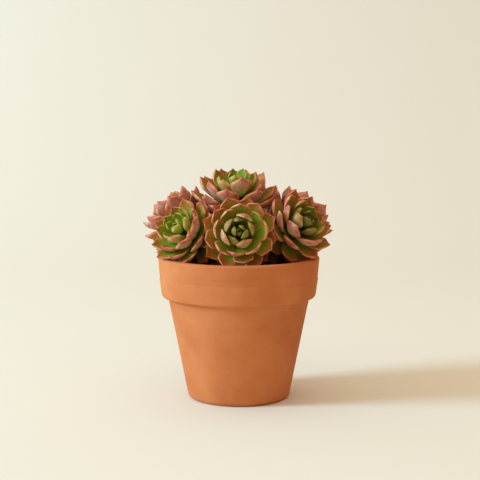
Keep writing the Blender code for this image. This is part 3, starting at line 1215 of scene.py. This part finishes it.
@dataclass
class Blade:
    """One typical leaf, lying flat along +Y with its upper face up. Every leaf is a bent copy of it."""

    length: float = 22 * MM
    width: float = 13 * MM
    thickness: float = 2.6 * MM
    tip: float = 1.05
    # How much one leaf may differ from the next
    most_twist: float = 0.06
    most_lopsided: float = 0.03
    most_flick_mm: float = 0.5
    # Points this near to each other along the blade are one ring, for its marks
    ring_step: float = 0.05 * MM
    # How sharply the upper face's colour turns to the lower one's round the margin
    face_change: float = 1.2
    # The section, as shares of half the width and of the thickness: thick bevelled margins, a shallow
    # channel above and a keel below
    section: tuple[tuple[float, float], ...] = (
        (1.02, -0.02),
        (0.95, 0.27),
        (0.76, 0.26),
        (0.38, 0.11),
        (0.0, 0.04),
        (-0.38, 0.11),
        (-0.76, 0.26),
        (-0.95, 0.27),
        (-1.02, -0.02),
        (-0.68, -0.42),
        (0.0, -0.8),
        (0.68, -0.42),
    )
    # Stations along it, as (share of length, share of half width, share of thickness)
    stations: tuple[tuple[float, float, float], ...] = (
        (0.0, 0.46, 0.9),
        (0.16, 0.6, 1.0),
        (0.32, 0.77, 1.0),
        (0.48, 0.92, 1.02),
        (0.62, 1.01, 1.0),
        (0.76, 1.05, 0.96),
        (0.83, 0.86, 0.9),
        (0.91, 0.45, 0.74),
        (0.97, 0.13, 0.42),
    )

    def build(self) -> bpy.types.Object:
        """Draws the section at the foot and extrudes it from station to station, then to the tip.

        Returns:
            The flat leaf, with its marks.
        """
        clear_selection()
        bpy.ops.mesh.primitive_circle_add(
            vertices=len(self.section), radius=1.0, fill_type="NGON", rotation=(math.pi / 2, 0, 0)
        )
        blade = bpy.context.object
        bpy.ops.object.transform_apply(location=False, rotation=True, scale=False)
        _, width, thickness = self.stations[0]
        for vertex, (across, above) in zip(blade.data.vertices, self.section):
            vertex.co = (across * width * self.width / 2, 0, above * thickness * self.thickness)
        bpy.ops.object.mode_set(mode="EDIT")
        bpy.ops.mesh.select_all(action="SELECT")
        for start, end in zip(self.stations, self.stations[1:]):
            bpy.ops.mesh.extrude_region_move(
                TRANSFORM_OT_translate={"value": (0, (end[0] - start[0]) * self.length, 0)}
            )
            bpy.ops.transform.resize(
                value=(end[1] / start[1], 1, end[2] / start[2]), center_override=(0, end[0] * self.length, 0)
            )
        bpy.ops.mesh.extrude_region_move(
            TRANSFORM_OT_translate={"value": (0, (self.tip - self.stations[-1][0]) * self.length, 0)}
        )
        bpy.ops.mesh.merge(type="CENTER")
        bpy.ops.object.mode_set(mode="OBJECT")
        close_up(blade)
        subdivide(blade, 1)
        self.mark(blade)
        return blade

    def mark(self, blade: bpy.types.Object) -> None:
        """Stores what the finish reads: the place along, the distance from the margin, and the face.

        Args:
            blade: The flat leaf. It also gets the place across, which only its bending reads.
        """
        halves: dict[int, float] = {}
        for vertex in blade.data.vertices:
            ring = round(vertex.co.y / self.ring_step)
            halves[ring] = max(halves.get(ring, 0.0), abs(vertex.co.x))
        marks: dict[str, list[float]] = {"along": [], "rim": [], "side": [], "under": []}
        for vertex in blade.data.vertices:
            half = halves[round(vertex.co.y / self.ring_step)]
            marks["along"].append(min(vertex.co.y / self.length, 1.0))
            marks["rim"].append((half - abs(vertex.co.x)) / MM)
            marks["side"].append(vertex.co.x / half if half > 0 else 0.0)
            marks["under"].append(min(1.0, max(0.0, 0.5 - self.face_change * vertex.normal.z)))
        for name, values in marks.items():
            blade.data.attributes.new(name, "FLOAT", "POINT").data.foreach_set("value", values)

    def bent(
        self, blade: bpy.types.Object, leaf: Leaf, rosette: Rosette, draw: random.Random
    ) -> bpy.types.Object:
        """Stretches and bends a copy of the blade to one leaf.

        Args:
            blade: The flat leaf, with its marks.
            leaf: The leaf that the copy becomes.
            rosette: The rosette that it is in.
            draw: Where its own small differences come from.

        Returns:
            The copy, with its own mesh.
        """
        mesh = blade.data.copy()
        twist = draw.uniform(-self.most_twist, self.most_twist)
        lopsided = draw.uniform(-self.most_lopsided, self.most_lopsided)
        flick = draw.uniform(0.0, self.most_flick_mm) * MM
        tuck = rosette.tuck * between(TIP_TUCK, leaf.number) * MM
        for vertex, side in zip(mesh.vertices, mesh.attributes["side"].data):
            along = vertex.co.y / self.length
            across = vertex.co.x / self.width * leaf.width
            above = vertex.co.z / self.thickness * leaf.thickness
            rising = min(1.0, along / CUPPED_FROM, max(0.0, (1 - along) / TIP_SHARE))
            above += leaf.cup * side.value**2 * rising
            above += twist * across * along + flick * max(0.0, along - 1 + TIP_SHARE) / TIP_SHARE
            above += tuck * max(0.0, (along - TUCKED_FROM) / (1 - TUCKED_FROM)) ** 2
            across += lopsided * leaf.width * math.sin(math.pi * min(along, 1.0))
            vertex.co = leaf.point(along, across, above)
        stretch = leaf.width / self.width
        for mark in mesh.attributes["rim"].data:
            mark.value *= stretch
        mesh.attributes.remove(mesh.attributes["side"])
        # The light mark is painted shade: the share of light painted on the leaf.
        mark_all(
            mesh,
            {
                "age": max(0, leaf.number) / OLDEST_LEAF,
                "tone": draw.random() + rosette.flush,
                "light": rosette.light(leaf.number),
            },
        )
        copy = bpy.data.objects.new("leaf", mesh)
        bpy.context.scene.collection.objects.link(copy)
        return copy


@dataclass
class Planting:
    """Every rosette with its stem."""

    soil: Soil
    rosettes: tuple[Rosette, ...]
    stem_radius: float = 2.1 * MM
    stem_foot_radius: float = 3.0 * MM
    root_depth: float = 12 * MM
    neck: float = 4 * MM
    pull: float = 0.4
    stem_steps: int = 28
    # The stem's radius on a ring and in the leaf scar after every third one, against a smooth one's
    ring_share: float = 1.03
    scar_share: float = 0.86
    sheath_radius: float = 4.2 * MM
    sheath_sides: int = 10
    # The heart's core tapers: its foot and its top, against a sheath
    core_foot: float = 0.8
    core_top: float = 0.45
    blade: Blade = field(default_factory=Blade)

    def stem(self, rosette: Rosette, material: bpy.types.Material) -> None:
        """Builds a stem: up out of the soil and over to the crown, ringed by old leaf scars.

        Args:
            rosette: The rosette that it carries.
            material: Its bark.
        """
        x, y = (value * MM for value in rosette.foot)
        start = Vector((x, y, self.soil.height(math.hypot(x, y)) - self.root_depth))
        out = start + Vector((0, 0, self.root_depth + self.neck))
        crown = rosette.crown(0)
        span = (crown - out).length
        rise = out + Vector((0, 0, self.pull * span))
        bends = (out, rise, crown - rosette.axis() * self.pull * span, crown)
        path = [(start, self.stem_foot_radius)]
        for step in range(self.stem_steps):
            at = step / (self.stem_steps - 1)
            shares = ((1 - at) ** 3, 3 * at * (1 - at) ** 2, 3 * at**2 * (1 - at), at**3)
            place = sum((bend * share for bend, share in zip(bends, shares)), Vector())
            radius = self.stem_foot_radius + (self.stem_radius - self.stem_foot_radius) * at
            path.append((place, radius * (self.ring_share if step % 3 else self.scar_share)))
        low, _ = rosette.heights(WHORLS[0])
        path.append((rosette.crown(low - CLEARANCE), self.stem_radius))
        curve = bpy.data.curves.new(f"{rosette.name}_corky_stem", "CURVE")
        curve.dimensions = "3D"
        curve.bevel_depth = 1.0
        curve.bevel_resolution = 3
        curve.use_fill_caps = True
        spline = curve.splines.new("POLY")
        spline.points.add(len(path) - 1)
        for point, (place, radius) in zip(spline.points, path):
            point.co = (*place, 1)
            point.radius = radius
        stem = bpy.data.objects.new(f"{rosette.name}_corky_stem", curve)
        bpy.context.scene.collection.objects.link(stem)
        only(stem)
        bpy.ops.object.convert(target="MESH")
        stem = bpy.context.object
        close_up(stem)
        bpy.ops.object.shade_smooth()
        dress(stem, material, Slot.STEM, f"{rosette.name}_stem")

    def sheath(self, rosette: Rosette, whorl: Whorl) -> bpy.types.Object:
        """Builds the fleshy ring that a whorl's leaves spring from, or the heart's core.

        Args:
            rosette: The rosette.
            whorl: Its whorl.

        Returns:
            The ring, with the marks that the leaf finish reads.
        """
        low, high = rosette.heights(whorl)
        foot, top = self.sheath_radius, self.sheath_radius
        if not whorl.first:
            foot, top = self.core_foot * foot, self.core_top * top
        profile = [(0.0, low), (foot, low), (top, high), (0.0, high)]
        ring = turned("sheath", profile, self.sheath_sides)
        upward, side = rosette.axis(), rosette.sideways()
        frame = Matrix((side, upward.cross(side), upward)).transposed().to_4x4()
        ring.data.transform(Matrix.Translation(rosette.crown(0)) @ frame)
        mark_all(ring.data, SHEATH_MARKS)
        return ring

    def build(
        self,
        nodes: dict[str, bpy.types.Object],
        bark: bpy.types.Material,
        leaf: bpy.types.Material,
        young: bpy.types.Material,
        draw: random.Random,
    ) -> None:
        """Builds every stem and whorl.

        Args:
            nodes: The frame's solids by name.
            bark: The stems' finish.
            leaf: The leaves' finish.
            young: The heart leaves' finish.
            draw: Where the leaves' own small differences come from.
        """
        master = self.blade.build()
        for rosette in self.rosettes:
            self.stem(rosette, bark)
            for whorl in WHORLS:
                solid = f"{rosette.name}_{whorl.name}"
                leaves = rosette.leaves(whorl, nodes[solid])
                if not whorl.first:
                    leaves += [rosette.leaf(whorl, number, 0.0, 1.0) for number in BUD_LEAVES]
                copies = [self.blade.bent(master, one, rosette, draw) for one in leaves]
                piece = join(copies, f"{rosette.name}_{whorl.name.split('_')[0]}_whorl")
                piece = join([piece, self.sheath(rosette, whorl)], piece.name)
                if whorl.first:
                    dress(piece, leaf, Slot.LEAF, solid)
                else:
                    dress(piece, young, Slot.YOUNG_LEAF, solid)
        bpy.data.objects.remove(master)


# ---------------------------------------------------------------- studio


@dataclass
class Studio:
    """A cream paper sweep, one soft key light from the left and a warm fill all round."""

    half_width: float = 3.6
    front: float = -5.0
    back: float = 1.5
    height: float = 2.2
    bend: float = 0.9
    bend_segments: int = 16
    key_power: float = 108.0
    key_size: float = 0.93
    key_distance: float = 3.1
    key_turn: float = math.radians(14)
    key_lift: float = math.radians(25)
    key_colour: str = "#B9E2FF"
    fill_colour: str = "#FFEDD0"
    low_colour: str = "#98542E"
    fill_strength: float = 1.1
    # How much the fill falls off to the right, against downwards, and the levels that it falls between
    side_fall: float = 0.55
    fill_levels: tuple[float, float] = (-0.06, 0.74)
    aim_height: float = 0.08

    def sweep(self) -> None:
        """The floor that curves up into the backdrop."""
        clear_selection()
        bpy.ops.mesh.primitive_plane_add(size=1.0)
        paper = bpy.context.object
        paper.name = "paper_sweep"
        paper.scale = (2 * self.half_width, self.back - self.front, 1)
        paper.location = (0, (self.back + self.front) / 2, 0)
        bpy.ops.object.transform_apply()
        near = 0.01
        select_edges(paper, lambda at: at.y > self.back - near)
        bpy.ops.mesh.extrude_region_move(TRANSFORM_OT_translate={"value": (0, 0, self.height)})
        select_edges(paper, lambda at: at.y > self.back - near and at.z < near)
        bpy.ops.mesh.bevel(offset=self.bend, segments=self.bend_segments)
        bpy.ops.object.mode_set(mode="OBJECT")
        bpy.ops.object.shade_smooth()
        paper.data.materials.append(PaperSweep().make())

    def light(self) -> None:
        """The key light and the fill."""
        lamp = bpy.data.lights.new("key", "AREA")
        lamp.shape = "DISK"
        lamp.size = self.key_size
        lamp.energy = self.key_power
        lamp.color = linear(self.key_colour)[:3]
        key = bpy.data.objects.new("key", lamp)
        bpy.context.scene.collection.objects.link(key)
        level = math.cos(self.key_lift)
        towards = Vector(
            (-level * math.cos(self.key_turn), -level * math.sin(self.key_turn), math.sin(self.key_lift))
        )
        key.location = Vector((0, 0, self.aim_height)) + towards * self.key_distance
        key.rotation_euler = towards.to_track_quat("Z", "Y").to_euler()
        world = bpy.data.worlds.new("fill")
        bpy.context.scene.world = world
        world.use_nodes = True
        tree = world.node_tree
        node = partial(add_node, tree)
        towards_sky = node("ShaderNodeTexCoord").outputs["Generated"]
        apart = node("ShaderNodeSeparateXYZ", {0: towards_sky})
        # The room is brighter overhead and on the window side, and darker and warmer to the right.
        rise = node(
            "ShaderNodeMath",
            {0: apart.outputs["X"], 1: -self.side_fall, 2: apart.outputs["Z"]},
            operation="MULTIPLY_ADD",
        )
        low, high = self.fill_levels
        share = node("ShaderNodeMapRange", {"Value": rise, "From Min": low, "From Max": high})
        sky = node(
            "ShaderNodeMix",
            {0: share, 6: linear(self.low_colour), 7: linear(self.fill_colour)},
            data_type="RGBA",
        )
        feed(tree.nodes["Background"], {"Color": sky, "Strength": self.fill_strength})

    def build(self) -> None:
        """Sets up the sweep, the light and plain colour handling."""
        self.sweep()
        self.light()
        bpy.context.scene.view_settings.view_transform = "Standard"


@dataclass
class Camera:
    """A short telephoto at the height of a seated eye, looking a little down."""

    place: tuple[float, float, float] = (0.0, -0.80, 0.1969)
    pitch: float = 0.1108
    lens_mm: float = 88.5
    shift: float = 1.2 / 480

    def build(self) -> None:
        """Adds the camera."""
        data = bpy.data.cameras.new("camera")
        data.lens = self.lens_mm
        data.shift_x = self.shift
        data.clip_start = 0.01
        camera = bpy.data.objects.new("camera", data)
        camera.location = self.place
        camera.rotation_euler = (math.pi / 2 - self.pitch, 0, 0)
        bpy.context.scene.collection.objects.link(camera)
        bpy.context.scene.camera = camera


ROSETTES = (
    Rosette("front", (0.5, -46, 119), 0, 16, 26.0, 133.5, (1, -20), 0, -0.05, 1.0, 0.35),
    Rosette("right", (46.5, -20, 124.5), 46, 32, 26.5, 20, (23, -9), 2, 0.2, 0.3, 0.2),
    Rosette("left", (-43, -23, 120.5), -46, 32, 26.0, 140, (-22, -10), 6, -0.1, 0.0, 1.0),
    Rosette("top", (-2.5, -1, 151.2), 0, 74, 31.0, 215, (0, 3), 13, 0.35, 0.0, 0.9),
    Rosette("rear_left", (-51, 19, 130), -112, 42, 26.5, 60, (-23, 11), 6, 0.5, 0.0, 0.8),
    Rosette("rear_right", (49.5, 24, 129), 118, 42, 26.5, 310, (22, 13), 4, 0.4, 0.3, 0.6),
    Rosette("back", (0, 46, 126), 180, 32, 26.0, 100, (0, 25), 4, 0.1, 0.5, 0.5),
)


def main() -> None:
    """Loads the frame and builds the pot, the soil, the planting, the studio and the camera."""
    logging.basicConfig(level=logging.INFO, format="%(message)s")
    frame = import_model()
    draw = random.Random(7)
    low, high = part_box("pot")
    pot = Pot(rim_height=high.z, rim_radius=(high.x - low.x) / 2)
    pot.build(Terracotta().make())
    soil = Soil(pot)
    soil.build(PottingSoil().make(), draw)
    planting = Planting(soil, ROSETTES)
    planting.build(frame["nodes"], StemBark().make(), LEAF_FINISH.make(), YOUNG_LEAF_FINISH.make(), draw)
    Studio().build()
    Camera().build()


if __name__ == "__main__":
    main()
